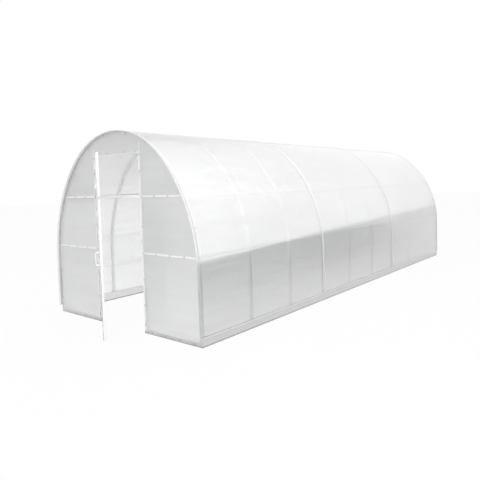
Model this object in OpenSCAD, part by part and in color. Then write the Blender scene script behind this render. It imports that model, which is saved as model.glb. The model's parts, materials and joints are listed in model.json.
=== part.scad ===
// Arched tunnel greenhouse: steel arches on a base frame, clad in twin-wall
// polycarbonate, with a hinged door and a vent leaf over it in the front gable.
// Millimetres. X is the width, Y the length with the front gable at -Y, Z is up.
// The origin is on the ground, in the middle of the footprint.

/* [Tunnel] */
// Width over the outer faces of the arch tubes
tunnel_w = 3000; // [2700:10:3600]
// Height from the ground to the top of the arch tubes
tunnel_h = 2600; // [2160:10:3120]
// Height at which the straight wall turns into the arch
wall_h = 860; // [600:10:1000]
// Slope, in degrees, at which the haunch bend of an arch runs into its crown bend
join_a = 47.6774804; // [35:0.0000001:60]
// Distance from one arch to the next
bay_l = 900; // [700:10:1080]

/* [Steel frame] */
// Width of the arch tube, along the tunnel
arch_tube_w = 30; // [20:1:40]
// Depth of the arch tube, across the cladding
arch_tube_d = 40; // [25:1:50]
// Height of the base rails under the long walls
base_h = 120; // [80:5:160]
// Width of the base rails under the long walls
base_w = 40; // [40:1:60]
// Height of the base rails under the gables
gable_base_h = 45; // [30:1:70]
// Side of the square purlin tube
purlin_s = 25; // [20:1:40]
// Width of the gable posts
post_w = 40; // [30:1:50]
// Height of the gable rails
rail_h = 30; // [20:1:40]
// Height of the underside of the middle gable rails
mid_rail_z = 1010; // [700:5:1200]
// Height of the crown rail between the door header, 0, and the arch over the posts, 1
crown_share = 0.795; // [0.6:0.005:0.9]

/* [Doorway] */
// Clear width between the two front posts
door_w = 940; // [780:5:1130]
// Height from the ground to the underside of the door header
door_h = 1730; // [1500:5:1900]
// Angle by which the door stands open
door_open = 33; // [0:1:120]
// Angle by which the vent leaf stands open
vent_open = 33; // [0:1:120]
// Side of the square tube of the door and vent frames
leaf_tube = 25; // [20:1:30]
// Gap round the door and vent leaves
leaf_gap = 6; // [5:0.5:10]
// Gap between the door and the ground
door_lift = 10; // [5:1:50]

/* [Cladding] */
// Thickness of the polycarbonate
sheet_t = 6; // [4:1:10]
// Lap of the cladding down over the base rails
base_lap = 20; // [10:1:40]
// Height of the lower edge of the gable sheets
gable_sheet_z = 10; // [0:1:20]
// Overhang of the cover sheets past the gable sheets
overhang = 16; // [15:1:40]
// Width of the bands over the joints of the cover sheets
band_w = 50; // [40:1:80]
// Thickness of the bands
band_t = 2; // [1:0.5:4]
// Length of the lips of the end trims
trim_lip = 12; // [6:1:14]
// Thickness of the end trims
trim_t = 1.5; // [1:0.5:3]

/* [Brackets] */
// Length of the legs of the angle brackets
bracket_leg = 40; // [25:1:60]
// Thickness of the brackets and joint plates
bracket_t = 3; // [2:0.5:5]
// How far a joint plate runs along each tube
plate_lap = 40; // [25:1:60]

/* [Hinges, handle and catches] */
// Radius of the hinge knuckles
knuckle_r = 7; // [5:0.5:7]
// Height of one hinge
hinge_h = 90; // [60:5:120]
// Thickness of the hinge plates
hinge_t = 2.5; // [2:0.5:4]
// Width of the hinge plates on the leaves
hinge_plate_w = 30; // [20:1:40]
// Distance of the outer door hinges from the ends of the leaf
hinge_inset = 220; // [100:5:300]
// Height of the middle of the door handle
handle_z = 1010; // [800:5:1100]
// Length of the door handle
handle_l = 160; // [120:5:200]
// Thickness of the handle's rod
handle_rod = 10; // [8:1:14]
// How far the handle stands out from the door
handle_reach = 45; // [35:1:60]
// Length of the turn buttons that hold the leaves shut
button_l = 60; // [40:1:80]
// Width of the turn buttons
button_w = 16; // [12:1:18]

/* [Hidden] */
$fn = 48;
ARC_FN = 1440;         // facets of a full circle of the tunnel's outline

BAYS = 9;              // bays along the tunnel, one fewer than the arches
BAYS_PER_SHEET = 3;    // bays under one cover sheet
SEAT = 0.3;            // clearance between a sheet and the tubes and bands that it lies on
JOINT_GAP = 4;         // gap between sheets that meet over a tube
POST_LAP = 20;         // how far a gable sheet laps over a post or rail beside an opening
LEAF_SHEET_INSET = 2;  // how far the sheet of a leaf stays inside the leaf's edge
PLATE_INSET = 2.5;     // how far a plate stays inside the edges of the tubes under it
EDGE_GAP = 1;          // gap between a hinge plate or catch and the sheet beside it
KNUCKLE_SINK = 0.5;    // how far the hinge knuckles sit into the depth of their plates
VENT_HINGE_MOST = 0.4; // tallest hinge on the vent leaf, as a share of the leaf's height
VENT_HINGE_PLACES = [0.25, 0.75];  // heights of its hinges, as shares of the leaf's height
CUT = 1;               // extra length of a cutting solid

STEEL = [0.93, 0.94, 0.94];
ZINC = [0.80, 0.82, 0.83];
CLEAR_SHEET = [0.90, 0.93, 0.94, 0.55];
TRIM = [0.86, 0.87, 0.87];

half_w = tunnel_w / 2;
frame_l = BAYS * bay_l + arch_tube_w;
front_y = -frame_l / 2;                        // front face of the front arch
rear_y = frame_l / 2;
rise = tunnel_h - wall_h;
// The haunch bend is tangent to the upright wall and to the crown bend, which is level at the top
bend_step = (rise - half_w) / (sin(join_a) + cos(join_a) - 1);
haunch_r = half_w + bend_step * cos(join_a);   // radius of the haunch bend
crown_r = haunch_r - bend_step;                // radius of the crown bend
haunch_x = half_w - haunch_r;                  // centre of the right-hand haunch bend
crown_z = tunnel_h - crown_r;                  // centre of the crown bend

shoulder_z = door_h + rail_h / 2;              // middle of the shoulder purlins
post_x = door_w / 2;                           // inner face of the front posts
opening_top = door_h + rail_h;                 // upper face of the door header
sheet_z = base_h - base_lap;                   // lower edge of the cover sheets
gable_face = front_y - SEAT - sheet_t;         // outer face of the front gable sheets
cover_end = SEAT + sheet_t + overhang;         // how far the cover runs past the arches

crown_sheet_x = post_x + POST_LAP - JOINT_GAP; // half width of the sheet over the vent leaf
rear_seam_x = post_x + post_w / 2;             // joints of the rear sheets, over the posts
leaf_x = post_x - leaf_gap;                    // half width of the door and vent leaves
hinge_x = -post_x + leaf_gap / 2;
hinge_y = gable_face - hinge_t - knuckle_r + KNUCKLE_SINK;
door_z0 = door_lift;
door_z1 = door_h - leaf_gap;
rail_room = arch_inside_z(post_x) - rail_h - opening_top;  // room for the crown rail
crown_rail_z = opening_top + crown_share * rail_room;
vent_z0 = opening_top + leaf_gap;
vent_z1 = crown_rail_z - leaf_gap;
vent_stile = vent_z1 - vent_z0;                // height of the vent leaf
vent_hinge_h = min(hinge_h, vent_stile * VENT_HINGE_MOST);
door_hinge_z = [door_z0 + hinge_inset, (door_z0 + door_z1) / 2, door_z1 - hinge_inset];
vent_hinge_z = [for (share = VENT_HINGE_PLACES) vent_z0 + share * vent_stile];

// ---------------------------------------------------------------- outlines

// Height at which the haunch arc meets the crown arc, on a line set in by d
function join_z(d) = wall_h + (haunch_r - d) * sin(join_a);

// Slope of the outward normal where the outer face of the arches is z high
function normal_a(z) =
    z <= wall_h ? 0 :
    z <= join_z(0) ? asin((z - wall_h) / haunch_r) : asin((z - crown_z) / crown_r);

// Point [x, z] of the right-hand outer face at height z, set in by d along the normal
function face_point(z, d) =
    let (a = normal_a(z))
    z <= wall_h ? [half_w - d, z] :
    z <= join_z(0) ? [haunch_x + (haunch_r - d) * cos(a), wall_h + (haunch_r - d) * sin(a)] :
    [(crown_r - d) * cos(a), crown_z + (crown_r - d) * sin(a)];

// Height of the inner face of an arch over x, under the crown
function arch_inside_z(x) = crown_z + sqrt(pow(crown_r - arch_tube_d, 2) - x * x);

// Cross-section of the tunnel from z0 up, set in by d from the outer face of the arches
module section_2d(d, z0 = 0) {
    translate([-half_w + d, z0])
        square([tunnel_w - 2 * d, wall_h - z0]);
    for (side = [0, 1]) mirror([side, 0])
        intersection() {
            translate([haunch_x, wall_h]) circle(haunch_r - d, $fn = ARC_FN);
            translate([-CUT, wall_h]) square([half_w - d + CUT, join_z(d) - wall_h]);
        }
    intersection() {
        translate([0, crown_z]) circle(crown_r - d, $fn = ARC_FN);
        // Cut at the height the haunch part ends at, written in the same way, so that the two meet
        translate([-half_w, wall_h])
            translate([0, join_z(d) - wall_h]) square([tunnel_w, tunnel_h]);
    }
}

// Band of the cross-section between two insets, from z0 up
module arch_band_2d(d_outer, d_inner, z0) {
    difference() {
        section_2d(d_outer, z0);
        section_2d(d_inner, z0 - CUT);
    }
}

// Upright plate with outline children() in X and Z, from y, t thick towards +Y
module upright(y, t) {
    translate([0, y + t, 0])
        rotate([90, 0, 0])
            linear_extrude(t) children();
}

// Inside of the arches, for cutting gable tubes to length
module inside_arch_2d() {
    section_2d(arch_tube_d + SEAT);
}

// ------------------------------------------------------------------- frame

module base_frame() {
    color(STEEL) {
        // One flat ring on the ground, open only at the front doorway
        linear_extrude(gable_base_h)
            difference() {
                translate([-half_w, front_y]) square([tunnel_w, frame_l]);
                translate([-half_w + base_w, front_y + arch_tube_w])
                    square([tunnel_w - 2 * base_w, frame_l - 2 * arch_tube_w]);
                translate([-post_x, front_y - CUT]) square([door_w, arch_tube_w + 2 * CUT]);
            }
        for (side = [-1, 1])
            translate([side * (half_w - base_w / 2) - base_w / 2, front_y, gable_base_h])
                cube([base_w, frame_l, base_h - gable_base_h]);
    }
}

module arch(index) {
    color(STEEL)
        upright(front_y + index * bay_l, arch_tube_w)
            arch_band_2d(0, arch_tube_d, base_h);
}

// Places children() at the outer face of the arches, side 1 right and side -1 left, with
// X outwards and Z up along the outline: at the ridge for z = tunnel_h, else at height z
module on_outline(side, z) {
    ridge = z == tunnel_h;
    p = ridge ? [0, z] : face_point(z, 0);
    mirror([side < 0 ? 1 : 0, 0, 0])
        translate([p[0], 0, p[1]])
            rotate([0, ridge ? -90 : -normal_a(z), 0]) children();
}

// Row of straight ties between the arches, flush with the outside of the arches
module purlin(side, z) {
    color(STEEL)
        on_outline(side, z)
            for (bay = [0 : BAYS - 1])
                translate([-purlin_s, front_y + bay * bay_l + arch_tube_w, -purlin_s / 2])
                    cube([purlin_s, bay_l - arch_tube_w, purlin_s]);
}

// Post of a gable, from the base rail up to the inside of the arch
module gable_post(y, x) {
    color(STEEL)
        upright(y, arch_tube_w)
            intersection() {
                translate([x, gable_base_h]) square([post_w, tunnel_h]);
                inside_arch_2d();
            }
}

// Rail between a post and the arch, on the side given, with its underside at z
module side_rail_2d(side, z) {
    x0 = post_x + post_w;
    intersection() {
        translate([side > 0 ? x0 : -half_w, z]) square([half_w - x0, rail_h]);
        inside_arch_2d();
    }
}

module side_rails(y, z) {
    color(STEEL)
        upright(y, arch_tube_w) {
            side_rail_2d(-1, z);
            side_rail_2d(1, z);
        }
}

module middle_rail(y, z) {
    color(STEEL)
        translate([-post_x, y, z]) cube([door_w, arch_tube_w, rail_h]);
}

// ---------------------------------------------------- brackets of the frame

// Angle bracket in the corner at the origin, with a leg along +Y and a leg towards -Z
module angle_bracket(width) {
    translate([-width - PLATE_INSET, 0, -bracket_t]) cube([width, bracket_leg, bracket_t]);
    translate([-width - PLATE_INSET, 0, -bracket_leg]) cube([width, bracket_t, bracket_leg]);
}

// Row of angle brackets, one at each end of every bay, in the corners of the arches
module bracket_row(width) {
    for (bay = [0 : BAYS - 1]) {
        y = front_y + bay * bay_l;
        translate([0, y + arch_tube_w, 0]) angle_bracket(width);
        translate([0, y + bay_l, 0]) mirror([0, 1, 0]) angle_bracket(width);
    }
}

// Brackets below a purlin
module purlin_brackets(side, z) {
    on_outline(side, z)
        translate([0, 0, -purlin_s / 2]) bracket_row(purlin_s - 2 * PLATE_INSET);
}

// Brackets on a long base rail, at the feet of the arches
module foot_brackets(side) {
    translate([side * half_w, 0, base_h])
        mirror([side < 0 ? 1 : 0, 0, 0])
            mirror([0, 0, 1]) bracket_row(min(base_w, arch_tube_d) - 2 * PLATE_INSET);
}

// Flat plate between x0 and x1 along a rail with its underside at z
module rail_plate_2d(x0, x1, z) {
    translate([x0, z + PLATE_INSET]) square([x1 - x0, rail_h - 2 * PLATE_INSET]);
}

// Right-hand joint plates of a gable; the middle one runs inner_lap past the post
module gable_plates_2d(inner_lap) {
    post_end = post_x + post_w;
    post_mid = post_x + post_w / 2;
    plate_w = post_w - 2 * PLATE_INSET;
    rail_plate_2d(post_x - plate_lap, post_end + plate_lap, door_h);
    rail_plate_2d(post_x - inner_lap, post_end + plate_lap, mid_rail_z);
    translate([post_mid - plate_w / 2, PLATE_INSET])
        square([plate_w, gable_base_h + plate_lap - PLATE_INSET]);
    // At the arch the plates stop short of the purlins
    intersection() {
        section_2d(purlin_s + PLATE_INSET);
        union() {
            for (z = [door_h, mid_rail_z])
                rail_plate_2d(face_point(z, arch_tube_d)[0] - plate_lap, half_w, z);
            translate([post_mid - plate_w / 2, arch_inside_z(post_mid) - plate_lap])
                square([plate_w, tunnel_h]);
        }
    }
}

module gable_plates(y, inner_lap) {
    for (side = [0, 1])
        mirror([side, 0, 0]) upright(y, bracket_t) gable_plates_2d(inner_lap);
}

module frame_brackets() {
    color(ZINC) {
        for (side = [-1, 1]) {
            foot_brackets(side);
            purlin_brackets(side, shoulder_z);
        }
        purlin_brackets(1, tunnel_h);
        gable_plates(front_y + arch_tube_w, -PLATE_INSET);
        for (side = [0, 1])
            mirror([side, 0, 0])
                upright(front_y + arch_tube_w, bracket_t)
                    rail_plate_2d(post_x - plate_lap, post_x + post_w - PLATE_INSET, crown_rail_z);
        gable_plates(rear_y - arch_tube_w - bracket_t, plate_lap);
    }
}

// ---------------------------------------------------------------- cladding

// Gable sheet between x0 and x1, from z0 up to the arch
module gable_sheet(y, x0, x1, z0 = gable_sheet_z) {
    color(CLEAR_SHEET)
        upright(y, sheet_t)
            intersection() {
                translate([x0, z0]) square([x1 - x0, tunnel_h]);
                section_2d(0);
            }
}

// Cover sheet number i of the row, counted from the front
module cover_sheet(i) {
    last = BAYS / BAYS_PER_SHEET - 1;
    mid_y = front_y + arch_tube_w / 2;
    y0 = i == 0 ? front_y - cover_end : mid_y + i * BAYS_PER_SHEET * bay_l + JOINT_GAP / 2;
    y1 = i == last ? rear_y + cover_end : mid_y + (i + 1) * BAYS_PER_SHEET * bay_l - JOINT_GAP / 2;
    color(CLEAR_SHEET)
        upright(y0, y1 - y0)
            arch_band_2d(-SEAT - sheet_t, -SEAT, sheet_z);
}

// Strap over the joint between cover sheets i and i + 1
module joint_band(i) {
    inner = -sheet_t - 2 * SEAT;
    y = front_y + arch_tube_w / 2 + (i + 1) * BAYS_PER_SHEET * bay_l - band_w / 2;
    color(STEEL)
        upright(y, band_w)
            arch_band_2d(inner - band_t, inner, sheet_z);
}

// Channel over the end of the cover, with its web at y0 and its lips towards +Y
module end_trim() {
    inner = trim_t;
    outer = -sheet_t - 2 * SEAT - trim_t;
    color(TRIM)
        difference() {
            upright(-trim_t, trim_t + trim_lip) arch_band_2d(outer, inner, sheet_z);
            upright(0, trim_lip + CUT) arch_band_2d(outer + trim_t, 0, sheet_z - CUT);
        }
}

// ------------------------------------------------------------ door and vent

// Turns a leaf about the hinge line, outwards
module swing(angle) {
    translate([hinge_x, hinge_y, 0])
        rotate([0, 0, -angle])
            translate([-hinge_x, -hinge_y, 0]) children();
}

// Outline of a leaf between the heights z0 and z1, set in by d
module panel_2d(z0, z1, d) {
    translate([-leaf_x + d, z0 + d])
        square([2 * (leaf_x - d), z1 - z0 - 2 * d]);
}

// Tube round the edge of a leaf
module leaf_ring_2d(z0, z1) {
    difference() {
        panel_2d(z0, z1, 0);
        panel_2d(z0, z1, leaf_tube);
    }
}

module door_frame() {
    color(STEEL)
        swing(door_open)
            upright(front_y, leaf_tube) {
                leaf_ring_2d(door_z0, door_z1);
                translate([-leaf_x + leaf_tube / 2, mid_rail_z])
                    square([2 * leaf_x - leaf_tube, leaf_tube]);
            }
}

module door_sheet() {
    color(CLEAR_SHEET)
        swing(door_open)
            upright(gable_face, sheet_t) panel_2d(door_z0, door_z1, LEAF_SHEET_INSET);
}

module vent_frame() {
    color(STEEL)
        swing(vent_open) upright(front_y, leaf_tube) leaf_ring_2d(vent_z0, vent_z1);
}

module vent_sheet() {
    color(CLEAR_SHEET)
        swing(vent_open)
            upright(gable_face, sheet_t) panel_2d(vent_z0, vent_z1, LEAF_SHEET_INSET);
}

// Half of a hinge on the post, h high: a plate and the two outer knuckles
module post_hinge(z, h) {
    knuckle_h = h / 3;
    translate([-post_x - POST_LAP + EDGE_GAP, front_y - hinge_t, z - h / 2])
        cube([POST_LAP - EDGE_GAP, hinge_t, h]);
    for (end = [-1, 1])
        translate([hinge_x, hinge_y, z + end * knuckle_h - knuckle_h / 2]) {
            cylinder(r = knuckle_r, h = knuckle_h);
            translate([-knuckle_r, 0, 0])
                cube([hinge_t, front_y - hinge_y, knuckle_h]);
        }
}

// Half of a hinge on a leaf, h high: a plate on the sheet and the middle knuckle
module leaf_hinge(z, h) {
    knuckle_h = h / 3 - 2 * SEAT;
    translate([hinge_x + knuckle_r, gable_face - hinge_t, z - h / 2])
        cube([hinge_plate_w, hinge_t, h]);
    translate([hinge_x, hinge_y, z - knuckle_h / 2]) {
        cylinder(r = knuckle_r, h = knuckle_h);
        translate([0, knuckle_r - hinge_t, 0])
            cube([knuckle_r + hinge_t, hinge_t, knuckle_h]);
    }
}

module door_post_hinges() {
    color(ZINC) for (z = door_hinge_z) post_hinge(z, hinge_h);
}

module door_leaf_hinges() {
    color(ZINC) swing(door_open) for (z = door_hinge_z) leaf_hinge(z, hinge_h);
}

module vent_hinges() {
    color(ZINC)
        for (z = vent_hinge_z) {
            post_hinge(z, vent_hinge_h);
            swing(vent_open) leaf_hinge(z, vent_hinge_h);
        }
}

// Bow handle on the free stile of the door
module door_handle() {
    color(ZINC)
        swing(door_open)
            translate([leaf_x - leaf_tube / 2, gable_face, handle_z]) {
                for (end = [-1, 1])
                    translate([0, 0, end * (handle_l - handle_rod) / 2])
                        rotate([90, 0, 0]) cylinder(d = handle_rod, h = handle_reach);
                translate([0, -handle_reach, -handle_l / 2]) cylinder(d = handle_rod, h = handle_l);
            }
}

// Bar with round ends that turns on a spacer on the post, drawn out of the leaf's way
module turn_button(z) {
    spacer_t = sheet_t + EDGE_GAP;
    translate([post_x + POST_LAP / 2, 0, z]) {
        upright(front_y - spacer_t, spacer_t) circle(d = button_w / 2);
        upright(front_y - spacer_t - hinge_t, hinge_t) {
            square([button_w, button_l - button_w], center = true);
            for (end = [-1, 1])
                translate([0, end * (button_l - button_w) / 2]) circle(d = button_w);
        }
    }
}

module turn_buttons() {
    color(ZINC) {
        turn_button(handle_z + handle_l);
        turn_button(vent_z0 + vent_stile / 2);
    }
}

// --------------------------------------------------------------- the nodes

base_frame();
arch(0);  // arch_1
arch(1);  // arch_2
arch(2);  // arch_3
arch(3);  // arch_4
arch(4);  // arch_5
arch(5);  // arch_6
arch(6);  // arch_7
arch(7);  // arch_8
arch(8);  // arch_9
arch(9);  // arch_10
purlin(1, tunnel_h);  // ridge_purlin
purlin(-1, shoulder_z);  // left_purlin
purlin(1, shoulder_z);  // right_purlin
gable_post(front_y, -post_x - post_w);  // front_left_post
gable_post(front_y, post_x);  // front_right_post
middle_rail(front_y, door_h);  // front_header
union() {  // front_upper_rails
    side_rails(front_y, door_h);
    middle_rail(front_y, crown_rail_z);
}
side_rails(front_y, mid_rail_z);  // front_mid_rails
gable_sheet(gable_face, -half_w, -post_x - POST_LAP);  // front_left_sheet
gable_sheet(gable_face, post_x + POST_LAP, half_w);  // front_right_sheet
gable_sheet(gable_face, -crown_sheet_x, crown_sheet_x, crown_rail_z + rail_h - POST_LAP);  // front_crown_sheet
vent_frame();
vent_sheet();
vent_hinges();
door_post_hinges();
door_frame();
door_sheet();
door_leaf_hinges();
door_handle();
gable_post(rear_y - arch_tube_w, -post_x - post_w);  // rear_left_post
gable_post(rear_y - arch_tube_w, post_x);  // rear_right_post
union() {  // rear_upper_rails
    side_rails(rear_y - arch_tube_w, door_h);
    middle_rail(rear_y - arch_tube_w, door_h);
}
union() {  // rear_mid_rails
    side_rails(rear_y - arch_tube_w, mid_rail_z);
    middle_rail(rear_y - arch_tube_w, mid_rail_z);
}
gable_sheet(rear_y + SEAT, -half_w, -rear_seam_x - JOINT_GAP / 2);  // rear_left_sheet
gable_sheet(rear_y + SEAT, -rear_seam_x + JOINT_GAP / 2, rear_seam_x - JOINT_GAP / 2);  // rear_middle_sheet
gable_sheet(rear_y + SEAT, rear_seam_x + JOINT_GAP / 2, half_w);  // rear_right_sheet
cover_sheet(0);  // cover_sheet_1
cover_sheet(1);  // cover_sheet_2
cover_sheet(2);  // cover_sheet_3
joint_band(0);  // joint_band_1
joint_band(1);  // joint_band_2
translate([0, front_y - cover_end, 0]) end_trim();  // front_trim
translate([0, rear_y + cover_end, 0]) rotate([0, 0, 180]) end_trim();  // rear_trim
frame_brackets();
turn_buttons();
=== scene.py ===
"""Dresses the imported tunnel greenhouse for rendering.

The frame holds every tube, sheet and fitting at its place. This script gives them their finishes, adds the
screws, bolts, tape and strips that hold the greenhouse together, and sets up a plain studio with one camera.
"""

import json
import logging
import math
from abc import ABC, abstractmethod
from dataclasses import dataclass, field
from enum import Enum
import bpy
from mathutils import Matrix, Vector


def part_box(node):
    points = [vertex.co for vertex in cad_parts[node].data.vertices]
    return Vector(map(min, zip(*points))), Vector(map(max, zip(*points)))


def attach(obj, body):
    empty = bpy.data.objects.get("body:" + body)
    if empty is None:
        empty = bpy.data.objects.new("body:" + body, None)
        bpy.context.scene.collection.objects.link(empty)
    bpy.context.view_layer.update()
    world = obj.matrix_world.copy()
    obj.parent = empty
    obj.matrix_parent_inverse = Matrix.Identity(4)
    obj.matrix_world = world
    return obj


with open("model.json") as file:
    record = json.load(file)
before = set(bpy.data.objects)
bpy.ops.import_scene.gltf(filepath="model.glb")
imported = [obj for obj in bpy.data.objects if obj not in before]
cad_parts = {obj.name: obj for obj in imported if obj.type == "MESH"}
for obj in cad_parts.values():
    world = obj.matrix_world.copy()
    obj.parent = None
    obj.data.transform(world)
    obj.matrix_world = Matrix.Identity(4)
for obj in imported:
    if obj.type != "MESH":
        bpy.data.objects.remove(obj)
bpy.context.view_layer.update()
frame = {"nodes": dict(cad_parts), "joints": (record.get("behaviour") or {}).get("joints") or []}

from fnmatch import fnmatchcase
from typing import Any

import bpy
import numpy as np
from bpy.types import ID, Material, NodeSocket, Object, World
from mathutils import Matrix, Vector

log = logging.getLogger("greenhouse")

Number = int | float
Span = tuple[float, float]
Point = tuple[float, float, float]
Colour = tuple[float, float, float]
Sizes = tuple[float, ...]
Places = tuple[np.ndarray, np.ndarray]

MAIN_BODY = "greenhouse"
DOOR_BODY = "front_door"

RIGHT: Point = (1.0, 0.0, 0.0)
BACK: Point = (0.0, 1.0, 0.0)
UP: Point = (0.0, 0.0, 1.0)
WHITE = (1.0, 1.0, 1.0, 1.0)
LEAF_TURN = math.radians(33.0)  # how far the door and the vent leaf stand open


# -------------------------- shader maths


class Signal:
    """A shader socket on which Python's operators add Math nodes."""

    def __init__(self, graph: "Graph", socket: NodeSocket | None) -> None:
        """Keeps the socket and the graph it belongs to.

        Args:
            graph: The node tree that new nodes are added to.
            socket: An output socket of that tree, or None for a node without outputs.
        """
        self.graph = graph
        self.socket = socket

    def _maths(self, operation: str, *values: "Signal | Number", **settings: Any) -> "Signal":
        """Adds one Math node.

        Args:
            operation: The Math node's operation.
            values: Its inputs, in order.
            settings: More settings of the node.

        Returns:
            The node's result.
        """
        return self.graph.node("ShaderNodeMath", dict(enumerate(values)), operation=operation, **settings)

    def __add__(self, other: "Signal | Number") -> "Signal":
        """Sum."""
        return self._maths("ADD", self, other)

    __radd__ = __add__

    def __sub__(self, other: "Signal | Number") -> "Signal":
        """Difference."""
        return self._maths("SUBTRACT", self, other)

    def __rsub__(self, other: Number) -> "Signal":
        """Difference from a number."""
        return self._maths("SUBTRACT", other, self)

    def __mul__(self, other: "Signal | Number") -> "Signal":
        """Product."""
        return self._maths("MULTIPLY", self, other)

    __rmul__ = __mul__

    def __pow__(self, other: "Signal | Number") -> "Signal":
        """Power."""
        return self._maths("POWER", self, other)

    def __abs__(self) -> "Signal":
        """Size without sign."""
        return self._maths("ABSOLUTE", self)

    def sine(self) -> "Signal":
        """Sine of the value in radians."""
        return self._maths("SINE", self)

    def clamped(self) -> "Signal":
        """The value held between 0 and 1."""
        return self._maths("ADD", self, 0.0, use_clamp=True)

    def step(self, low: Number, high: Number) -> "Signal":
        """Smooth change from 0 at low to 1 at high.

        Args:
            low: Value that gives 0.
            high: Value that gives 1.

        Returns:
            The smoothed mask.
        """
        return self.graph.node(
            "ShaderNodeMapRange",
            {"Value": self, "From Min": low, "From Max": high, "To Min": 0.0, "To Max": 1.0},
            interpolation_type="SMOOTHSTEP",
            clamp=True,
        )

    def along(self, direction: Point) -> "Signal":
        """Dot product of a vector signal with a direction.

        Args:
            direction: The direction, as three numbers.

        Returns:
            The length of the vector along it.
        """
        return self.graph.node(
            "ShaderNodeVectorMath", {0: self, 1: direction}, out="Value", operation="DOT_PRODUCT"
        )


class Graph:
    """The node tree of a material or of the world."""

    def __init__(self, owner: Material | World) -> None:
        """Starts an empty tree.

        Args:
            owner: The material or world that holds the tree.
        """
        owner.use_nodes = True
        self.tree = owner.node_tree
        self.tree.nodes.clear()

    def node(
        self, kind: str, sockets: dict[str | int, Any] | None = None, out: str | int = 0, **settings: Any
    ) -> Signal:
        """Adds one node of any type.

        Args:
            kind: The node's type name.
            sockets: Values or signals for its inputs, by name or number.
            out: The output to return, by name or number.
            settings: The node's settings, which are set before its inputs.

        Returns:
            That output as a signal.
        """
        made = self.tree.nodes.new(kind)
        for name, value in settings.items():
            setattr(made, name, value)
        for name, value in (sockets or {}).items():
            if isinstance(value, Signal):
                self.tree.links.new(value.socket, made.inputs[name])
            else:
                made.inputs[name].default_value = value
        return Signal(self, made.outputs[out] if len(made.outputs) else None)

    def place(self) -> Signal:
        """The object coordinates, in metres."""
        return self.node("ShaderNodeTexCoord", out="Object")

    def path(self, question: str) -> Signal:
        """One answer of the Light Path node, by the output's name."""
        return self.node("ShaderNodeLightPath", out=question)

    def noise(self, where: Signal, scale: float, detail: float = 3.0) -> Signal:
        """Cloudy noise from 0 to 1.

        Args:
            where: Coordinates.
            scale: Features per metre.
            detail: Number of finer layers.

        Returns:
            The noise value.
        """
        return self.node("ShaderNodeTexNoise", {"Vector": where, "Scale": scale, "Detail": detail})

    def blend(self, share: Signal | Number, first: Colour | Signal, second: Colour | Signal) -> Signal:
        """Mixes two colours.

        Args:
            share: 0 for the first colour, 1 for the second.
            first: The first colour.
            second: The second colour.

        Returns:
            The mixed colour.
        """
        sockets: dict[str | int, Any] = {0: share}
        for number, colour in ((6, first), (7, second)):
            sockets[number] = colour if isinstance(colour, Signal) else (*colour, 1.0)
        return self.node("ShaderNodeMix", sockets, out=2, data_type="RGBA", clamp_factor=True)

    def bump(self, height: Signal, depth: float) -> Signal:
        """A normal tilted by a height.

        Args:
            height: The relief, where 1 stands for depth.
            depth: Depth of the relief in metres.

        Returns:
            The normal.
        """
        return self.node("ShaderNodeBump", {"Height": height, "Strength": 1.0, "Distance": depth})

    def surface(self, shader: Signal) -> None:
        """Connects a shader to the output.

        Args:
            shader: The finished shader.
        """
        kind = "World" if isinstance(self.tree.id_data, World) else "Material"
        self.node(f"ShaderNodeOutput{kind}", {"Surface": shader})


# ------------------------------ finishes


def darker(colour: Colour, share: float) -> Colour:
    """The colour with each of its three parts multiplied by a share."""
    return tuple(share * part for part in colour)


class Finish(ABC):
    """A finish, which can make its material."""

    name: str

    @abstractmethod
    def shader(self, g: Graph, where: Signal) -> Signal:
        """Builds the shader.

        Args:
            g: The material's tree.
            where: The object coordinates.

        Returns:
            The shader.
        """

    def material(self) -> Material:
        """Builds the material.

        Returns:
            The material, named as the finish is.
        """
        material = bpy.data.materials.new(self.name)
        g = Graph(material)
        g.surface(self.shader(g, g.place()))
        return material


@dataclass(frozen=True)
class PaintedTube(Finish):
    """Satin paint over galvanised tube, a little uneven and duller low down."""

    name: str = "tube_paint"
    colour: Colour = (0.90, 0.90, 0.895)
    shade: Colour = (0.85, 0.85, 0.84)
    roughness: float = 0.34
    low_down_top: float = 0.35
    grain_deep: float = 0.0002

    def shader(self, g: Graph, where: Signal) -> Signal:
        """Mixes the paint towards its shade in clouds and towards the bottom, up to a set height.

        Args:
            g: The material's tree.
            where: The object coordinates.

        Returns:
            The shader.
        """
        cloud = g.noise(where, 6.0, detail=4.0)
        grain = g.noise(where, 90.0, detail=2.0)
        low_down = 1 - where.along(UP).step(0.0, self.low_down_top)
        share = (cloud.step(0.45, 0.75) * 0.25 + low_down * 0.35).clamped()
        return g.node(
            "ShaderNodeBsdfPrincipled",
            {
                "Base Color": g.blend(share, self.colour, self.shade),
                "Roughness": cloud * 0.12 + (self.roughness - 0.06),
                "Coat Weight": 0.25,
                "Coat Roughness": 0.15,
                "Normal": g.bump(grain, self.grain_deep),
            },
        )


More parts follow.
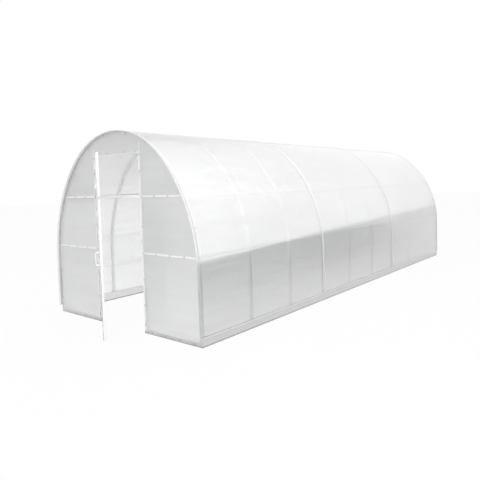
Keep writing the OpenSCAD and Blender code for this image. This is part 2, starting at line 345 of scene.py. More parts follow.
@dataclass(frozen=True)
class Zinc(Finish):
    """Zinc plating or galvanising, with its spangle.

    The tunnel's outer faces can take painted shade, darker than the inner faces. A painted contact shadow can
    lie as a dark line along the ground.
    """

    name: str
    colour: Colour = (0.60, 0.62, 0.63)
    pale: Colour = (0.78, 0.80, 0.81)
    spangle: float = 120.0
    roughness: float = 0.38
    metallic: float = 0.85
    # These fields paint a contact shadow along the ground and shade on the tunnel's outer faces.
    contact_shadow: float = 0.0
    outer_face_shade: float = 0.0
    contact_shadow_line: Span = (0.004, 0.026)
    side_face: Span = (1.465, 1.495)
    end_face: Span = (4.03, 4.06)
    outer_face_shade_tone: float = 0.68
    contact_shadow_tone: float = 0.32
    spangle_deep: float = 0.0001

    def shader(self, g: Graph, where: Signal) -> Signal:
        """Gives each spangle its own tone, then paints shade on outer faces and a contact shadow at the foot.

        Args:
            g: The material's tree.
            where: The object coordinates.

        Returns:
            The shader.
        """
        cell = g.node(
            "ShaderNodeTexVoronoi", {"Vector": where, "Scale": self.spangle}, out="Color", feature="F1"
        )
        tone = cell.along((0.4, 0.3, 0.3))
        dull = g.noise(where, 14.0)
        # Painted contact shadow: a dark, uneven line along the ground at the foot.
        low_down = (1 - where.along(UP).step(*self.contact_shadow_line)) * (g.noise(where, 30.0) * 0.5 + 0.75)
        # Painted shade: the tunnel's outer faces are made darker than the inner ones.
        sides = abs(where.along(RIGHT)).step(*self.side_face)
        ends = abs(where.along(BACK)).step(*self.end_face)
        outside = (sides + ends).clamped() * self.outer_face_shade
        metal = g.blend(tone, self.colour, self.pale)
        zinc = g.blend(outside, metal, darker(self.colour, self.outer_face_shade_tone))
        return g.node(
            "ShaderNodeBsdfPrincipled",
            {
                "Base Color": g.blend(low_down * self.contact_shadow, zinc, darker(self.colour, self.contact_shadow_tone)),
                "Roughness": (tone * 0.12 + dull * 0.16 + (self.roughness - 0.14)).clamped(),
                "Metallic": self.metallic,
                "Normal": g.bump(tone, self.spangle_deep),
            },
        )


@dataclass(frozen=True)
class Plain(Finish):
    """A moulded or rolled finish with a faint mottle, for washers, tape, strips and edge trims."""

    name: str
    colour: Colour
    roughness: float
    mottle_deep: float = 0.0002

    def shader(self, g: Graph, where: Signal) -> Signal:
        """Mottles the colour, the gloss and the surface alike.

        Args:
            g: The material's tree.
            where: The object coordinates.

        Returns:
            The shader.
        """
        mottle = g.noise(where, 40.0, detail=4.0)
        return g.node(
            "ShaderNodeBsdfPrincipled",
            {
                "Base Color": g.blend(mottle, darker(self.colour, 0.8), self.colour),
                "Roughness": mottle * 0.2 + (self.roughness - 0.1),
                "Normal": g.bump(mottle, self.mottle_deep),
            },
        )


@dataclass(frozen=True)
class TwinWall(Finish):
    """Translucent twin-wall polycarbonate: two skins on webs, with a glossy outer skin."""

    name: str
    across: Point
    colour: Colour = (0.80, 0.803, 0.805)
    web: Colour = (0.90, 0.902, 0.905)
    roughness: float = 0.25
    pitch: float = 0.0105
    transmission: float = 0.9
    wave: float = 0.004
    groove: float = 0.00006
    # Scale of the level streaks of painted reflection.
    painted_reflections: Point = (1.1, 1.1, 13.0)

    def shader(self, g: Graph, where: Signal) -> Signal:
        """Shows pale webs at the channels' pitch, clouds, dust low down and level streaks of painted
        reflection.

        The skin waves gently and sinks a little over each channel. Light from the lamps passes straight
        through the sheet, so that it casts no hard shadow.

        Args:
            g: The material's tree.
            where: The object coordinates.

        Returns:
            The shader.
        """
        channels = abs((where.along(self.across) * (math.pi / self.pitch)).sine())
        web = 1 - channels.step(0.05, 0.45)
        cloud = g.noise(where, 1.1, detail=2.0)
        dust = (1 - where.along(UP).step(0.05, 0.55)) * g.noise(where, 2.0, detail=5.0)
        # Painted reflection: level streaks in the colour stand for the surroundings mirrored in the sheet.
        drawn = g.node("ShaderNodeVectorMath", {0: where, 1: self.painted_reflections}, operation="MULTIPLY")
        painted_reflection = g.noise(drawn, 1.0)
        tone = (web * 0.3 + cloud * 0.2 + dust * 0.15 + painted_reflection.step(0.3, 0.7) * 0.4).clamped()
        relief = cloud * self.wave + channels * self.groove
        sheet = g.node(
            "ShaderNodeBsdfPrincipled",
            {
                "Base Color": g.blend(tone, self.colour, self.web),
                "Roughness": web * 0.10 + self.roughness,
                "IOR": 1.3,
                "Transmission Weight": self.transmission,
                "Coat Weight": 1.0,
                "Coat IOR": 2.1,
                "Coat Roughness": 0.05,
                "Normal": g.bump(relief, 1.0),
            },
        )
        clear = g.node("ShaderNodeBsdfTransparent", {"Color": WHITE})
        return g.node("ShaderNodeMixShader", {0: g.path("Is Shadow Ray"), 1: sheet, 2: clear})


def cover_sheet(name: str) -> TwinWall:
    """The cover's sheet, whose channels run over the tunnel from side to side."""
    return TwinWall(name, BACK, (0.69, 0.693, 0.695), (0.80, 0.803, 0.805))


# ----------------------- the CAD's nodes


class Kind(Enum):
    """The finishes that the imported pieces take, each with patterns of names. The first match counts."""

    COVER = ("cover_sheet_*",)
    LEAF = ("door_sheet", "vent_sheet")
    GABLE = ("*_sheet",)
    BAND = ("joint_band_*",)
    TRIM = ("*_trim",)
    ZINC = ("*hinge*", "*handle*", "*bracket*", "*button*")
    BASE = ("base_*",)
    TUBE = ("arch_*", "*_purlin")
    PAINT = ("*",)


@dataclass
class Wardrobe:
    """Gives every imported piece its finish."""

    finishes: dict[Kind, Finish] = field(
        default_factory=lambda: {
            Kind.PAINT: PaintedTube(),
            Kind.TUBE: Zinc("galvanised_tube", (0.88, 0.883, 0.885), (0.94, 0.943, 0.945), 90.0, 0.45, 0.05),
            Kind.ZINC: Zinc("zinc_plate"),
            Kind.BAND: Zinc("band_zinc", (0.60, 0.605, 0.61), (0.68, 0.685, 0.69), 60.0, 0.36, 0.2),
            # The base rails take a painted contact shadow along the ground and painted shade on their outer
            # faces.
            Kind.BASE: Zinc(
                name="base_zinc", colour=(0.86, 0.865, 0.87), pale=(0.93, 0.935, 0.94),
                spangle=80.0, roughness=0.42, metallic=0.2, contact_shadow=0.9, outer_face_shade=1.0,
            ),
            Kind.TRIM: Plain("edge_trim", (0.64, 0.645, 0.65), 0.4),
            Kind.COVER: cover_sheet("cover_twin_wall"),
            Kind.GABLE: TwinWall("gable_twin_wall", RIGHT, roughness=0.36),
            Kind.LEAF: TwinWall("leaf_twin_wall", (math.cos(LEAF_TURN), -math.sin(LEAF_TURN), 0.0)),
        }
    )

    def dress(self, nodes: dict[str, Object]) -> None:
        """Puts the materials into the pieces' slots.

        Args:
            nodes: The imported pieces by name.
        """
        materials = {kind: finish.material() for kind, finish in self.finishes.items()}
        for name, piece in nodes.items():
            kind = next(kind for kind in Kind if any(fnmatchcase(name, pattern) for pattern in kind.value))
            for slot in piece.material_slots:
                slot.material = materials[kind]
            log.info("%s: %s", name, kind.name)


# --------------------------- mesh making


def add_object(name: str, data: ID) -> Object:
    """Adds an object to the scene.

    Args:
        name: Its name.
        data: Its mesh, lamp or lens.

    Returns:
        The new object.
    """
    made = bpy.data.objects.new(name, data)
    bpy.context.scene.collection.objects.link(made)
    return made


def add_mesh(name: str, verts: np.ndarray, faces: list[list[int]]) -> Object:
    """Makes a mesh and adds it to the scene.

    Args:
        name: Name of the object and its mesh.
        verts: Points, in an array whose last axis holds X, Y and Z.
        faces: Corner numbers of each face.

    Returns:
        The new object.
    """
    mesh = bpy.data.meshes.new(name)
    mesh.from_pydata(verts.reshape(-1, 3).tolist(), [], faces)
    mesh.update()
    return add_object(name, mesh)


def ring_quads(rings: int, corners: int) -> np.ndarray:
    """Quads between neighbouring rings, each from two corners of a ring to the same two of the next.

    Args:
        rings: Number of rings.
        corners: Number of corners in each, numbered ring by ring.

    Returns:
        Corner numbers, of shape (n, 4).
    """
    here = np.arange(corners)
    ahead = (here + 1) % corners
    ring = (np.arange(rings - 1) * corners)[:, None]
    after = ring + corners
    return np.stack((ring + here, ring + ahead, after + ahead, after + here), axis=-1).reshape(-1, 4)


def joined_bars(name: str, sections: np.ndarray) -> Object:
    """Joins the sections of each bar by quads, closes both its ends and makes one object of all the bars.

    Args:
        name: Name of the object.
        sections: Corners, turning anticlockwise seen from a bar's end, of shape (bars, sections, k, 3).

    Returns:
        The joined object.
    """
    bars, rings, corners = sections.shape[:3]
    here = np.arange(corners)
    caps = np.stack((here[::-1], (rings - 1) * corners + here))
    shift = (np.arange(bars) * rings * corners)[:, None, None]
    faces = (ring_quads(rings, corners) + shift).reshape(-1, 4).tolist()
    faces += (caps + shift).reshape(-1, corners).tolist()
    return add_mesh(name, sections, faces)


class Head(Enum):
    """Profiles of fastener parts: rows of radius and height in metres, and which rows are hexagonal."""

    WAFER = ((0.0074, 0.0008, 0), (0.0074, 0.0012, 0), (0.0046, 0.0014, 0), (0.0036, 0.0021, 0))
    HEX = ((0.0074, 0.0010, 0), (0.0074, 0.0016, 0), (0.0050, 0.0017, 1), (0.0050, 0.0044, 1))
    BOLT = ((0.0075, -0.0002, 1), (0.0075, 0.0042, 1), (0.0062, 0.0052, 1))
    SMALL = ((0.0040, -0.0002, 0), (0.0040, 0.0008, 0), (0.0025, 0.0016, 0))
    SEAL = ((0.0108, -0.0001, 0), (0.0108, 0.0008, 0), (0.0088, 0.0011, 0))


def turned_parts(name: str, head: Head, facets: int, centres: np.ndarray, axes: np.ndarray) -> Object:
    """Joins one turned part, set on every centre along its axis, into a single object.

    A point of a part is its centre, plus the axis times the row's height, plus the row's radius times the
    cosine and sine of the angle along two directions square to the axis. Of twelve facets, every second one
    of a hexagonal row has the cosine of 30 degrees times the radius. Each part is turned by its own angle,
    drawn with the name's length as seed, and both ends are closed with a fan.

    Args:
        name: Name of the object.
        head: The part's profile.
        facets: Number of facets round it.
        centres: Places, of shape (n, 3).
        axes: Outward directions, of shape (n, 3).

    Returns:
        The joined object.
    """
    rows = np.array(head.value)
    count, levels = len(centres), len(rows)
    axes = axes / np.linalg.norm(axes, axis=1, keepdims=True)
    lean = np.where(np.abs(axes[:, 2:3]) < 0.9, UP, BACK)
    first = np.cross(lean, axes)
    first /= np.linalg.norm(first, axis=1, keepdims=True)
    second = np.cross(axes, first)
    turn = np.random.default_rng(len(name)).uniform(0.0, math.tau, count)
    here = np.arange(facets)
    angle = turn[:, None] + here * (math.tau / facets)
    flat = np.where((here % 2 == 1) & (facets == 12), math.cos(math.pi / 6), 1.0)
    radius = rows[:, 0:1] * np.where(rows[:, 2:3] > 0, flat, 1.0)
    round_it = (
        np.cos(angle)[:, None, :, None] * first[:, None, None, :]
        + np.sin(angle)[:, None, :, None] * second[:, None, None, :]
    )
    rise = rows[None, :, 1, None, None] * axes[:, None, None, :]
    ring = centres[:, None, None, :] + rise + radius[None, :, :, None] * round_it
    ends = centres[:, None, :] + rows[[0, -1], 1][None, :, None] * axes[:, None, :]
    verts = np.concatenate((ring.reshape(count, -1, 3), ends), axis=1)
    size = levels * facets + 2
    ahead = (here + 1) % facets
    last = (levels - 1) * facets
    low = np.stack((ahead, here, np.full(facets, size - 2)), axis=-1)
    high = np.stack((last + here, last + ahead, np.full(facets, size - 1)), axis=-1)
    shift = (np.arange(count) * size)[:, None, None]
    faces = (ring_quads(levels, facets) + shift).reshape(-1, 4).tolist()
    faces += (np.concatenate((low, high)) + shift).reshape(-1, 3).tolist()
    return add_mesh(name, verts, faces)


# -------- screws, bolts, tape and strips


@dataclass(frozen=True)
class Outline:
    """Outer face of the arches on the right-hand side: an upright wall, a haunch bend and a crown bend."""

    half_width: float = 1.5
    wall: float = 0.86
    haunch_radius: float = 1.891579
    crown_radius: float = 1.31
    top: float = 2.6

    @property
    def haunch_x(self) -> float:
        """Centre of the haunch bend, at the height of the wall."""
        return self.half_width - self.haunch_radius

    @property
    def join(self) -> float:
        """Slope at which the haunch bend runs into the crown bend, in radians."""
        return math.atan2(self.top - self.crown_radius - self.wall, -self.haunch_x)

    @property
    def length(self) -> float:
        """Length of the half outline, from the ground to the ridge."""
        crown = self.crown_radius * (math.pi / 2 - self.join)
        return self.wall + self.haunch_radius * self.join + crown

    def at(self, run: np.ndarray, out: float | np.ndarray, y: float | np.ndarray, side: float) -> Places:
        """Points and outward directions at distances along the outline.

        Up to the wall's height a point climbs straight up. After it the slope is the distance past the wall
        divided by the haunch radius, and past the join it grows by the rest divided by the crown radius. The
        point is the bend's centre plus its radius and the offset, times the cosine and sine of the slope.

        Args:
            run: Distances from the ground, measured along the outer face.
            out: Offset outwards from that face.
            y: Places along the tunnel.
            side: 1 for the right-hand side, -1 for the left.

        Returns:
            The points and the unit normals, as two arrays of shape (n, 3).
        """
        run, y = np.broadcast_arrays(np.asarray(run, float), np.asarray(y, float))
        run, y = run.ravel(), y.ravel()
        bend = np.clip(run - self.wall, 0.0, self.haunch_radius * self.join)
        rest = np.maximum(run - self.wall - self.haunch_radius * self.join, 0.0)
        slope = bend / self.haunch_radius + rest / self.crown_radius
        crown = rest > 0.0
        radius = np.where(crown, self.crown_radius, self.haunch_radius) + out
        x = np.where(crown, 0.0, self.haunch_x) + radius * np.cos(slope)
        z = np.where(crown, self.top - self.crown_radius, self.wall) + radius * np.sin(slope)
        z = np.where(run < self.wall, run, z)
        points = np.column_stack((side * x, y, z))
        normals = np.column_stack((side * np.cos(slope), np.zeros_like(y), np.sin(slope)))
        return points, normals


def middle(node: str, axis: int) -> float:
    """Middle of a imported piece's box along one axis."""
    return sum(corner[axis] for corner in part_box(node)) / 2


def both_halves(spots: list[Span], face: float, facing: float) -> Places:
    """Places on a gable's right-hand half, followed by their twins on the left.

    Args:
        spots: Places on the right-hand half, as (x, z).
        face: The gable's face in Y.
        facing: The way the places face along Y.

    Returns:
        The points and their directions.
    """
    right = np.insert(np.array(spots), 1, face, axis=1)
    points = np.concatenate((right, right * (-1.0, 1.0, 1.0)))
    return points, np.tile((0.0, facing, 0.0), (len(points), 1))


@dataclass
class Fixings:
    """Screws with sealing washers in the sheets, bolts in the brackets, and tape and strips on the edges.

    A run is a distance from the ground along the outline, and a place is a distance from the middle plane.
    """

    outline: Outline = Outline()
    wall_runs: Sizes = (0.71, 1.38, 2.05, 2.72)
    foot_run: float = 0.112
    band_reach: float = 0.1
    rim_start: float = 0.22
    rim_spare: float = 0.15
    rim_step: float = 0.42
    rim_inset: float = 0.02
    post_inset: float = 0.011
    post_low: Sizes = (0.11, 0.36, 0.69)
    post_middle: float = 1.36
    post_high: Sizes = (2.06, 2.27)
    rail_places: Sizes = (0.75, 1.0, 1.25)
    base_places: Sizes = (0.62, 0.87, 1.12, 1.37)
    base_height: float = 0.028
    crown_places: Sizes = (0.18, 0.42)
    crown_drop: float = 0.012
    rear_inset: float = 0.009
    rear_low: Sizes = (0.11, 0.52)
    rear_place: float = 0.16
    leaf_reach: float = 0.449
    leaf_inset: float = 0.013
    leaf_places: Sizes = (-0.15, 0.15)
    door_heights: Sizes = (0.32, 0.62, 0.92, 1.20, 1.45)
    vent_heights: Sizes = (2.03,)
    plate_thick: float = 0.0025
    plate_half: float = 0.045
    plate_rise: Sizes = (-0.032, 0.0, 0.032)
    plate_places: Sizes = (-0.444, -0.437, -0.444)
    bolt_reach: float = 0.025
    bolt_pair: Sizes = (-0.02, 0.018)
    bracket_thick: float = 0.003
    joint_step: float = 0.04
    foot_bolts: Sizes = (0.022, 0.065)
    half_purlin: float = 0.0125
    half_rail: float = 0.015
    half_base: float = 0.020
    sheet_gap: float = 0.0003
    tape_thick: float = 0.0002
    tape_lip: float = 0.015
    tape_short: float = 0.001
    strip_half: float = 0.010
    strip_thick: float = 0.0006
    strip_edge: float = 0.4
    strip_flat: float = 0.6
    strip_gap: float = 0.0006
    strip_foot: float = 0.03
    strip_drop: float = 0.035
    rear_shift: float = 0.002
    rain_reach: float = 0.028
    rain_thick: float = 0.0012
    rain_steps: int = 57
    seal: Material = field(default_factory=Plain("sealing_washer", (0.20, 0.20, 0.21), 0.6).material)
    steel: Material = field(
        default_factory=Zinc("screw_zinc", (0.70, 0.71, 0.72), (0.84, 0.85, 0.86), 400.0, 0.34, 0.8).material
    )
    tape: Material = field(default_factory=Plain("edge_tape", (0.86, 0.862, 0.865), 0.35).material)
    strip: Material = field(default_factory=Plain("clamp_strip", (0.97, 0.97, 0.965), 0.35).material)

    def build(self) -> None:
        """Makes every group of fixings."""
        self._cover_screws()
        self._gable_screws("front", -1.0)
        self._gable_screws("rear", 1.0)
        self._leaf_screws()
        self._hinge_screws()
        self._frame_bolts()
        self._plate_bolts("front", 1.0)
        self._plate_bolts("rear", -1.0)
        self._edge_tape()
        self._clamp_strips("front", -1.0)
        self._clamp_strips("rear", 1.0)
        self._rain_strip()

    def _dress(self, piece: Object, finish: Material, body: str = MAIN_BODY) -> None:
        """Gives a piece its material, body and slot, and reports it.

        Args:
            piece: The new piece.
            finish: Its material.
            body: The body it rides on.
        """
        piece.data.materials.append(finish)
        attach(piece, body)
        log.info("%s: %d faces on %s", piece.name, len(piece.data.polygons), body)

    def _screws(
        self, name: str, head: Head, facets: int, points: np.ndarray, axes: np.ndarray, body: str = MAIN_BODY
    ) -> None:
        """Makes a group of screws with their sealing washers.

        Args:
            name: First part of the pieces' names.
            head: Profile of the screw.
            facets: Number of facets round it.
            points: Places on the sheet.
            axes: Outward directions.
            body: The body they ride on.
        """
        self._dress(turned_parts(f"{name}_screws", head, facets, points, axes), self.steel, body)
        self._dress(turned_parts(f"{name}_seals", Head.SEAL, facets, points, axes), self.seal, body)

    def _arch_places(self) -> np.ndarray:
        """Middle of each arch along the tunnel, from front to rear."""
        return np.sort(np.array([middle(f"arch_{number}", 1) for number in range(1, 11)]))

    def _rail_heights(self, end: str) -> Span:
        """Middle heights of the mid rails and of the upper rails in a gable."""
        return middle(f"{end}_mid_rails", 2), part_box(f"{end}_upper_rails")[0][2] + self.half_rail

    def _cover_screws(self) -> None:
        """Sets wafer-head screws through the cover into the arches and the base rails.

        Each arch that no joint band covers takes one row up either side, and the base rails take one screw at
        every such arch and one half way between arches.
        """
        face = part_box("cover_sheet_1")[1][0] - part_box("arch_1")[1][0]
        arches = self._arch_places()
        bands = np.array([middle(f"joint_band_{number}", 1) for number in (1, 2)])
        free = arches[np.abs(arches[:, None] - bands).min(axis=1) > self.band_reach]
        runs, places = (a.ravel() for a in np.meshgrid(np.array(self.wall_runs), free))
        feet = np.concatenate((free, (arches[1:] + arches[:-1]) / 2))
        runs, places = np.append(runs, np.full(len(feet), self.foot_run)), np.append(places, feet)
        sides = [self.outline.at(runs, face, places, side) for side in (1.0, -1.0)]
        self._screws("cover", Head.WAFER, 8, *(np.concatenate(both) for both in zip(*sides)))

    def _gable_screws(self, end: str, facing: float) -> None:
        """Sets hexagon-head screws through the sheets of a gable.

        They follow the arch at a fixed inset, the posts, the rails and the base.

        Args:
            end: Name of the end, "front" or "rear".
            facing: -1 for the front, 1 for the rear.
        """
        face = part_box(f"{end}_right_sheet")[0 if facing < 0 else 1][1]
        runs = np.arange(self.rim_start, self.outline.length - self.rim_spare, self.rim_step)
        rim, _ = self.outline.at(runs, -self.rim_inset, face, 1.0)
        post_in, post_out = (corner[0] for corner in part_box(f"{end}_right_post"))
        mid, rail = self._rail_heights(end)
        up_post = (*self.post_low, mid, self.post_middle, rail, *self.post_high)
        spots = [(post_out - self.post_inset, z) for z in up_post]
        spots += [(x, mid) for x in self.rail_places] + [(x, rail) for x in self.rail_places[:2]]
        spots += [(x, self.base_height) for x in self.base_places]
        if facing < 0:
            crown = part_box(f"{end}_upper_rails")[1][2] - self.crown_drop
            spots += [(x, crown) for x in self.crown_places]
        else:
            up_post = (*self.rear_low, mid, self.post_middle, rail, self.post_high[0])
            spots += [(post_in + self.rear_inset, z) for z in up_post]
            spots += [(self.rear_place, z) for z in (self.base_height, mid, rail)]
        self._screws(f"{end}_gable", Head.HEX, 12, *both_halves([*rim[:, ::2], *spots], face, facing))

    def _swung(self, x: np.ndarray, z: np.ndarray, face: float) -> Places:
        """Turns places on a shut leaf to where the open leaf holds them.

        A point is moved round the hinge pin by the leaf's angle: its distances from the pin are multiplied by
        the cosine and the sine of that angle.

        Args:
            x: Places across the shut leaf.
            z: Heights.
            face: The leaf's outer face in Y when shut.

        Returns:
            The points and their outward directions.
        """
        pin = next(joint["pos_m"] for joint in frame["joints"] if joint["name"] == "front_door_hinge")
        cos, sin = math.cos(-LEAF_TURN), math.sin(-LEAF_TURN)
        across, deep = x - pin[0], face - pin[1]
        points = np.column_stack((pin[0] + cos * across - sin * deep, pin[1] + sin * across + cos * deep, z))
        return points, np.tile((sin, -cos, 0.0), (len(points), 1))

    def _leaf_screws(self) -> None:
        """Sets screws round the edges of the door's and the vent's sheets."""
        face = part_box("front_right_sheet")[0][1]
        for name, body, heights in (
            ("door", DOOR_BODY, self.door_heights),
            ("vent", MAIN_BODY, self.vent_heights),
        ):
            low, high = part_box(f"{name}_sheet")
            foot, head = low[2] + self.leaf_inset, high[2] - self.leaf_inset
            spots = [(side * self.leaf_reach, z) for side in (-1, 1) for z in (foot, *heights, head)]
            spots += [(x, z) for x in self.leaf_places for z in (foot, head)]
            self._screws(name, Head.HEX, 12, *self._swung(*np.array(spots).T, face), body)

    def _hinge_screws(self) -> None:
        """Sets three small screws in each hinge plate on the leaves."""
        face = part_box("front_right_sheet")[0][1] - self.plate_thick
        for name, node, body, plates in (
            ("door", "door_leaf_hinges", DOOR_BODY, 3),
            ("vent", "vent_hinges", MAIN_BODY, 2),
        ):
            low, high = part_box(node)
            middles = np.linspace(low[2] + self.plate_half, high[2] - self.plate_half, plates)
            z = (middles[:, None] + np.array(self.plate_rise)).ravel()
            places = self._swung(np.tile(self.plate_places, plates), z, face)
            self._dress(turned_parts(f"{name}_hinge_screws", Head.SMALL, 8, *places), self.steel, body)

    def _bracket_lines(self) -> list[Places]:
        """Corner lines of the angle brackets, as a point in the cross-section and the way away from the tube.

        Under a purlin the line runs along the middle of its lower face, square to the bend's radius there.
        On a base rail it runs along the upper face.

        Returns:
            Pairs of a point and a direction, both as (x, z).
        """
        lines = []
        for side, node in ((-1.0, "left_purlin"), (1.0, "right_purlin")):
            x, z = abs(middle(node, 0)), middle(node, 2)
            slope = math.atan2(z - self.outline.wall, x - self.outline.haunch_x)
            away = np.array((side * math.sin(slope), -math.cos(slope)))
            lines.append((np.array((side * x, z)) + away * self.half_purlin, away))
        ridge = np.array((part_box("ridge_purlin")[1][0], middle("ridge_purlin", 2)))
        lines.append((ridge, np.array((1.0, 0.0))))
        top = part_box("base_frame")[1]
        for side in (-1.0, 1.0):
            lines.append((np.array((side * (top[0] - self.half_base), top[2])), np.array((0.0, 1.0))))
        return lines

    def _frame_bolts(self) -> None:
        """Sets two bolts in each angle bracket.

        An angle bracket sits in the corner between an arch and a purlin or base rail. One of its bolts points
        away from that tube, and the other away from the arch.
        """
        arches = self._arch_places()
        low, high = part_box("arch_1")
        half_tube = (high[1] - low[1]) / 2
        corner = np.concatenate((arches[:-1] + half_tube, arches[1:] - half_tube))
        facing = np.repeat((1.0, -1.0), len(arches) - 1)
        zero = np.zeros_like(corner)
        points, axes = [], []
        for line, away in self._bracket_lines():
            for reach, deep, axis in (
                (self.bolt_reach, self.bracket_thick, (zero + away[0], zero, zero + away[1])),
                (self.bracket_thick, self.bolt_reach, (zero, facing, zero)),
            ):
                x, z = line + away * deep
                points.append(np.column_stack((zero + x, corner + facing * reach, zero + z)))
                axes.append(np.column_stack(axis))
        places = np.concatenate(points), np.concatenate(axes)
        self._dress(turned_parts("frame_bolts", Head.BOLT, 6, *places), self.steel)

    def _plate_bolts(self, end: str, facing: float) -> None:
        """Sets bolts in the joint plates inside a gable, two in each end of a plate.

        Args:
            end: Name of the end, "front" or "rear".
            facing: Way into the tunnel along Y.
        """
        line = self.outline
        low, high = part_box(f"{end}_right_post")
        face = (high[1] if facing > 0 else low[1]) + facing * self.bracket_thick
        post = middle(f"{end}_right_post", 0)
        heights = self._rail_heights(end)
        spots = [(x, z) for x in (post, post + self.joint_step) for z in heights]
        spots += [(post, z) for z in self.foot_bolts]
        for z in heights:
            slope = math.asin((z - line.wall) / line.haunch_radius)
            inside = line.haunch_x + (line.haunch_radius - self.joint_step) * math.cos(slope)
            spots += [(inside + step, z) for step in self.bolt_pair]
        rise = math.sqrt((line.crown_radius - self.joint_step) ** 2 - post**2)
        top = line.top - line.crown_radius + rise
        spots += [(post, top + step) for step in self.bolt_pair]
        places = both_halves(spots, face, facing)
        self._dress(turned_parts(f"{end}_plate_bolts", Head.BOLT, 6, *places), self.steel)

    def _edge_tape(self) -> None:
        """Folds sealing tape round the lower edges of the cover sheets.

        Its section is a thin U, carried straight along the tunnel: down the outer face, under the edge and up
        the inner face. Its corners turn clockwise seen from the front.
        """
        face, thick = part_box("arch_1")[1][0], self.tape_thick
        bars = []
        for number in (1, 2, 3):
            low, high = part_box(f"cover_sheet_{number}")
            outer, inner, foot, lip = high[0], face + self.sheet_gap, low[2], low[2] + self.tape_lip
            right = np.array(
                [(outer + thick, lip), (outer + thick, foot - thick), (inner - thick, foot - thick)]
                + [(inner - thick, lip), (inner, lip), (inner, foot), (outer, foot), (outer, lip)]
            )
            y = np.array((low[1] + self.tape_short, high[1] - self.tape_short))[:, None]
            for x, z in (right.T, (right * (-1, 1))[::-1].T):
                bars.append(np.stack(np.broadcast_arrays(x, y, z), axis=-1))
        self._dress(joined_bars("edge_tape", np.array(bars)), self.tape)

    def _clamp_strips(self, end: str, facing: float) -> None:
        """Lays thin crowned strips over the gable's sheets along the rails and the upright cut edges.

        A corner is its line's end, plus its first number times the direction across the strip, which is the
        outward direction crossed with the line, plus its second number times the outward direction.

        Args:
            end: Name of the end, "front" or "rear".
            facing: -1 for the front, 1 for the rear.
        """
        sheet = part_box(f"{end}_right_sheet")
        edge, face = sheet[0][0], sheet[0 if facing < 0 else 1][1]
        mid, top = self._rail_heights(end)
        mid_end, top_end = (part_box(f"{end}_{rail}_rails")[1][0] for rail in ("mid", "upper"))
        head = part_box(f"{end}_right_post")[1][2] - self.strip_drop
        half, thick, gap = self.strip_half, self.strip_thick, self.strip_gap
        upright = edge + half + 2 * gap if facing < 0 else edge - self.rear_shift
        beside = upright + half + gap
        lines = [(upright, self.strip_foot, upright, head)]
        lines += [(beside, mid, mid_end, mid), (beside, top, top_end, top)]
        lines += [(-x0, z0, -x1, z1) for x0, z0, x1, z1 in lines]
        if facing > 0:
            inner = upright - half - gap
            lines += [(-inner, z, inner, z) for z in (mid, top)]
        ends = np.insert(np.array(lines).reshape(-1, 2, 2), 1, face, axis=2)
        ahead = ends[:, 1] - ends[:, 0]
        ahead /= np.linalg.norm(ahead, axis=1, keepdims=True)
        outward = np.array((0.0, facing, 0.0))
        over = np.cross(outward, ahead)
        right = np.array([(half, 0), (half, thick * self.strip_edge), (half * self.strip_flat, thick)])
        section = np.concatenate((((-half, 0),), right, right[:0:-1] * (-1, 1)))
        spread = section[:, :1] * over[:, None, :] + section[:, 1:] * outward
        strips = ends[:, :, None, :] + spread[:, None, :, :]
        self._dress(joined_bars(f"{end}_clamp_strips", strips), self.strip)

    def _rain_strip(self) -> None:
        """Carries a thin strip forward from the front trim, so that rain drips clear of the gable.

        A point is the outline at a distance along it and at the strip's inner or outer offset, at the strip's
        back or front edge. The path climbs the right-hand side, and its mirror image comes down the left.
        """
        line = self.outline
        low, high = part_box("front_trim")
        back, front = low[1], low[1] - self.rain_reach
        outer = high[0] - line.half_width
        inner = outer - self.rain_thick
        section = np.array([(inner, back), (inner, front), (outer, front), (outer, back)])
        bends = np.linspace(line.wall, line.length, self.rain_steps)
        climb = np.concatenate(([low[2]], bends))
        run, corner = (a.ravel() for a in np.meshgrid(climb, np.arange(4), indexing="ij"))
        right, _ = line.at(run, section[corner, 0], section[corner, 1], 1.0)
        right = right.reshape(-1, 4, 3)
        path = np.concatenate((right, (right * (-1.0, 1.0, 1.0))[-2::-1]))
        piece = joined_bars("front_rain_strip", path[None])
        self._dress(piece, cover_sheet("rain_strip_sheet").material())


# -------------------------------- studio


class Rays:
    """How a ray came to the studio's floor or surround, as masks of 0 and 1."""

    def __init__(self, g: Graph) -> None:
        """Adds the masks to a tree.

        Args:
            g: The tree of the floor or of the surround.
        """
        self.camera = g.path("Is Camera Ray")
        self.glossy = g.path("Is Glossy Ray")
        self.through = g.path("Is Transmission Ray")
        self.mirrored = (self.glossy - self.through).clamped()
        self.one_sheet = (3 - g.path("Transmission Depth")).clamped()


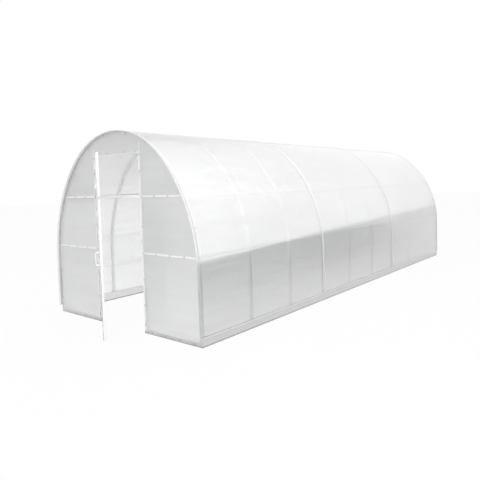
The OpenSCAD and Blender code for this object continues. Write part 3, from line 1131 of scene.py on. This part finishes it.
@dataclass
class Studio:
    """A pale floor, soft light from all round and a camera at standing height.

    The lens is given in the unit of which the square frame has 480: its focal length, and where its axis
    meets the frame, from the left and from the top.
    """

    eye: Point = (5.3589, -7.8968, 1.8487)
    heading: float = -39.3893
    pitch: float = -2.5237
    roll: float = -1.7195
    focal: float = 480.7
    axis: Span = (246.85, 206.1)
    frame_side: int = 480
    sensor: float = 36.0
    far_clip: float = 200.0
    floor_half: float = 60.0
    floor_tone: float = 0.72
    floor_glow: float = 0.93
    bank_light: float = 3.3
    crown_light: float = 0.45
    inner_light: float = 0.35
    card_dark: float = 0.7
    far_light: float = 1.6
    floor_through: float = 0.3
    dome_light: float = 0.3
    low_light: float = 0.72
    roof_watts: float = 400.0
    front_watts: float = 110.0
    aim: Point = (0.0, 0.0, 1.2)

    def build(self) -> None:
        """Makes the floor, the lights, the world and the camera."""
        self._floor()
        self._world()
        self._lamps()
        self._camera()

    def _floor(self) -> None:
        """Makes a flat floor, white to the eye but for a faint shadow.

        Gloss picks up a darker card beside the long side and brighter ground far beyond it. Light from
        outside that has come through one sheet is made up for what the sheet takes away.
        """
        s = self.floor_half
        corners = np.array([(-s, -s, 0.0), (s, -s, 0.0), (s, s, 0.0), (-s, s, 0.0)])
        floor = add_mesh("studio_floor", corners, [[0, 1, 2, 3]])
        material = bpy.data.materials.new("floor_white")
        g = Graph(material)
        rays, where = Rays(g), g.place()
        across, along = where.along(RIGHT), where.along(BACK)
        outside = (abs(across) - Outline.half_width).step(0.0, 0.05)
        far = ((across - 14.0) * 0.84 - (along - 8.5) * 0.545).step(-2.2, 1.8)
        wedge = (across - along * 0.45 + 0.3).step(-0.4, 3.0)
        card = across.step(1.2, 4.0) * wedge * (1 - far)
        seen = rays.through * rays.one_sheet * outside
        gloss = rays.mirrored * (far * self.far_light - card * self.card_dark)
        glow = g.node("ShaderNodeEmission", {"Color": WHITE, "Strength": 1 + gloss + seen * self.inner_light})
        matt = g.node("ShaderNodeBsdfDiffuse", {"Color": (*(self.floor_tone,) * 3, 1.0)})
        plain = rays.camera + rays.mirrored + seen
        share = plain * self.floor_glow + (rays.through - seen) * self.floor_through
        g.surface(g.node("ShaderNodeMixShader", {0: share, 1: matt, 2: glow}))
        floor.data.materials.append(material)

    def _world(self) -> None:
        """Makes the white surround, with a bright bank of light beyond the long side that gloss picks up.

        The bank starts at the horizon, and a little higher towards the rear, over a darker card. The other
        side is a little dimmer low down. Light that has come through a sheet is made up for what the sheets
        take away. A soft dome lights matt surfaces.
        """
        world = bpy.data.worlds.new("studio")
        bpy.context.scene.world = world
        g = Graph(world)
        rays = Rays(g)
        ray = g.node("ShaderNodeTexCoord", out="Generated")
        side, back, up = ray.along(RIGHT), ray.along(BACK), ray.along(UP)
        edge = (back - 0.82).clamped() * 0.65
        above = (up - edge).step(-0.04, 0.02)
        fall = (1 - back * back) ** 0.75 * (side + 0.6).clamped()
        bank = above * fall * self.bank_light
        dip = (1 - up.step(0.05, 0.3)) * (0 - side).step(0.1, 0.4) * 0.4
        card = (1 - above) * (1 - back.step(0.85, 0.93)) * side.step(0.1, 0.3) * self.card_dark
        level = rays.one_sheet * (1 - up.step(-0.03, 0.03)) * self.inner_light
        crown = (1 - rays.one_sheet) * up.step(0.05, 0.1) * self.crown_light
        shown = 1 + rays.mirrored * (bank - dip - card) + rays.through * (level + crown)
        dome = up.step(-0.2, 0.9) * self.dome_light + self.low_light
        share = (rays.camera + rays.glossy + rays.through).clamped()
        strength = share * shown + (1 - share) * dome
        g.surface(g.node("ShaderNodeBackground", {"Color": WHITE, "Strength": strength}))

    def _lamps(self) -> None:
        """Hangs one large soft box over the tunnel and stands one before its front."""
        for name, place, size, watts in (
            ("roof_box", (3.0, -4.0, 9.0), (9.0, 12.0), self.roof_watts),
            ("front_box", (1.5, -13.0, 3.0), (7.0, 5.0), self.front_watts),
        ):
            lamp = bpy.data.lights.new(name, "AREA")
            lamp.shape = "RECTANGLE"
            lamp.size, lamp.size_y = size
            lamp.energy = watts
            box = add_object(name, lamp)
            box.location = place
            box.visible_glossy = False
            box.rotation_euler = (Vector(self.aim) - box.location).to_track_quat("-Z", "Y").to_euler()

    def _camera(self) -> None:
        """Sets the camera from its heading, pitch and roll."""
        heading, pitch, roll = (math.radians(a) for a in (self.heading, self.pitch, self.roll))
        ahead = Vector(
            (math.sin(heading) * math.cos(pitch), math.cos(heading) * math.cos(pitch), math.sin(pitch))
        )
        level = ahead.cross(Vector(UP)).normalized()
        right = Matrix.Rotation(-roll, 3, ahead) @ level
        up = right.cross(ahead)
        lens = bpy.data.cameras.new("camera")
        lens.sensor_width = self.sensor
        lens.lens = self.sensor * self.focal / self.frame_side
        lens.shift_x = 0.5 - self.axis[0] / self.frame_side
        lens.shift_y = self.axis[1] / self.frame_side - 0.5
        lens.clip_end = self.far_clip
        camera = add_object("camera", lens)
        turned = Matrix((right, up, -ahead)).transposed().to_4x4()
        camera.matrix_world = Matrix.Translation(self.eye) @ turned
        bpy.context.scene.camera = camera
        bpy.context.scene.view_settings.view_transform = "Standard"


def main() -> None:
    """Dresses the greenhouse and sets up the studio."""
    logging.basicConfig(level=logging.INFO, format="%(name)s: %(message)s")
    Wardrobe().dress(frame["nodes"])
    Fixings().build()
    Studio().build()


if __name__ == "__main__":
    main()
